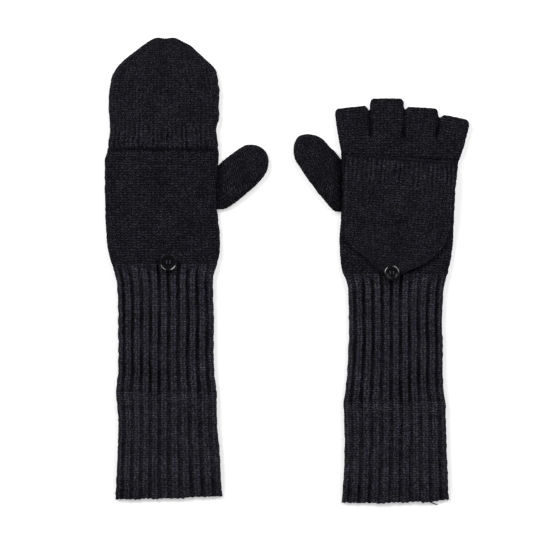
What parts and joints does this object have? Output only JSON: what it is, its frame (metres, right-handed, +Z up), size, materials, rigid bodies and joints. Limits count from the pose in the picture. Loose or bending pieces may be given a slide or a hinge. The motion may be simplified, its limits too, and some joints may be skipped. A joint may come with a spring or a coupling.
{
  "type": "pair of convertible flip-top mittens",
  "caption": "Pair of long-cuff convertible mittens: fingerless glove with a flip-top hood that buttons back at the wrist, closed thumb and wide-rib cuff.",
  "frame": {"origin": "middle of the pair's footprint, on the surface that both mittens lie on", "axes": "+Y from the cuffs' hems to the fingertips, +Z up from the surface through the backs of the hands, +X from the left mitten to the right one"},
  "size_m": [0.3014, 0.3858, 0.0157],
  "materials": {
    "plain_knit": "plain-knit black wool with light flecks",
    "rib_knit": "wide-rib black wool",
    "hood_knit": "plain-knit black wool with a short rib band",
    "linking_yarn": "black wool yarn",
    "button_gloss": "polished black",
    "sewing_thread": "dark sewing thread"
  },
  "bodies": {
    "left_hand_body": {"left_hand": "plain_knit", "left_cuff_upper": "rib_knit", "left_index_tube": "plain_knit", "left_middle_tube": "plain_knit", "left_ring_tube": "plain_knit", "left_little_tube": "plain_knit", "left_hood_seam": "linking_yarn"},
    "left_cuff_body": {"left_cuff_lower": "rib_knit"},
    "left_thumb_body": {"left_thumb": "plain_knit"},
    "left_hood_body": {"left_hood_back": "hood_knit"},
    "left_hood_palm_body": {"left_hood_palm": "hood_knit"},
    "left_button_body": {"left_button": "button_gloss", "left_button_thread": "sewing_thread"},
    "right_hand_body": {"right_hand": "plain_knit", "right_cuff_upper": "rib_knit", "right_index_tube": "plain_knit", "right_middle_tube": "plain_knit", "right_ring_tube": "plain_knit", "right_little_tube": "plain_knit", "right_hood_seam": "linking_yarn"},
    "right_cuff_body": {"right_cuff_lower": "rib_knit"},
    "right_thumb_body": {"right_thumb": "plain_knit"},
    "right_hood_body": {"right_hood_back": "hood_knit"},
    "right_hood_palm_body": {"right_hood_palm": "hood_knit"},
    "right_button_body": {"right_button": "button_gloss", "right_button_thread": "sewing_thread"}
  },
  "joints": [
    {"name": "right_mitten_slide", "type": "slide", "parent": "left_hand_body", "child": "right_hand_body", "axis": [1, 0, 0], "range_m": [0, 0.06]},
    {"name": "left_hood_hinge", "type": "hinge", "parent": "left_hand_body", "child": "left_hood_body", "pos_m": [-0.1022, 0.1004, 0.0097], "axis": [1, 0, 0], "range_deg": [0, 180], "deforming": ["left_hood_palm"]},
    {"name": "right_hood_hinge", "type": "hinge", "parent": "right_hand_body", "child": "right_hood_body", "pos_m": [0.0944, 0.0915, 0.0097], "axis": [-0.9969, 0.0785, 0], "range_deg": [0, 180], "deforming": ["right_hood_palm"]},
    {"name": "left_hood_palm_slide", "type": "slide", "parent": "left_hood_body", "child": "left_hood_palm_body", "axis": [0, 0, 1], "range_m": [0, 0.00695]},
    {"name": "left_thumb_fold", "type": "hinge", "parent": "left_hand_body", "child": "left_thumb_body", "pos_m": [-0.0568, 0.0699, 0.00875], "axis": [0, -1, 0], "range_deg": [0, 90]},
    {"name": "right_hood_palm_slide", "type": "slide", "parent": "right_hood_body", "child": "right_hood_palm_body", "axis": [0, 0, 1], "range_m": [0, 0.00695]},
    {"name": "right_thumb_fold", "type": "hinge", "parent": "right_hand_body", "child": "right_thumb_body", "pos_m": [0.0448, 0.0683, 0.00875], "axis": [0, 1, 0], "range_deg": [0, 90]},
    {"name": "left_button_tilt", "type": "hinge", "parent": "left_hand_body", "child": "left_button_body", "pos_m": [-0.0974, 0.007, 0.0097], "axis": [1, 0, 0], "range_deg": [-12, 12], "stiffness_Nm_per_rad": 0.002},
    {"name": "right_button_tilt", "type": "hinge", "parent": "right_hand_body", "child": "right_button_body", "pos_m": [0.08703, -0.00221, 0.0097], "axis": [1, 0, 0], "range_deg": [-12, 12], "stiffness_Nm_per_rad": 0.002},
    {"name": "left_cuff_turnup", "type": "hinge", "parent": "left_hand_body", "child": "left_cuff_body", "pos_m": [-0.1013, -0.10075, 0.00875], "axis": [-1, 0, 0], "range_deg": [0, 180]},
    {"name": "right_cuff_turnup", "type": "hinge", "parent": "right_hand_body", "child": "right_cuff_body", "pos_m": [0.0907, -0.10875, 0.00875], "axis": [-1, 0, 0], "range_deg": [0, 180]}
  ],
  "couplings": [
    {"joint": "left_hood_palm_slide", "follows": "left_hood_hinge", "m_per_rad": 0.0021963},
    {"joint": "right_hood_palm_slide", "follows": "right_hood_hinge", "m_per_rad": 0.0021963}
  ]
}
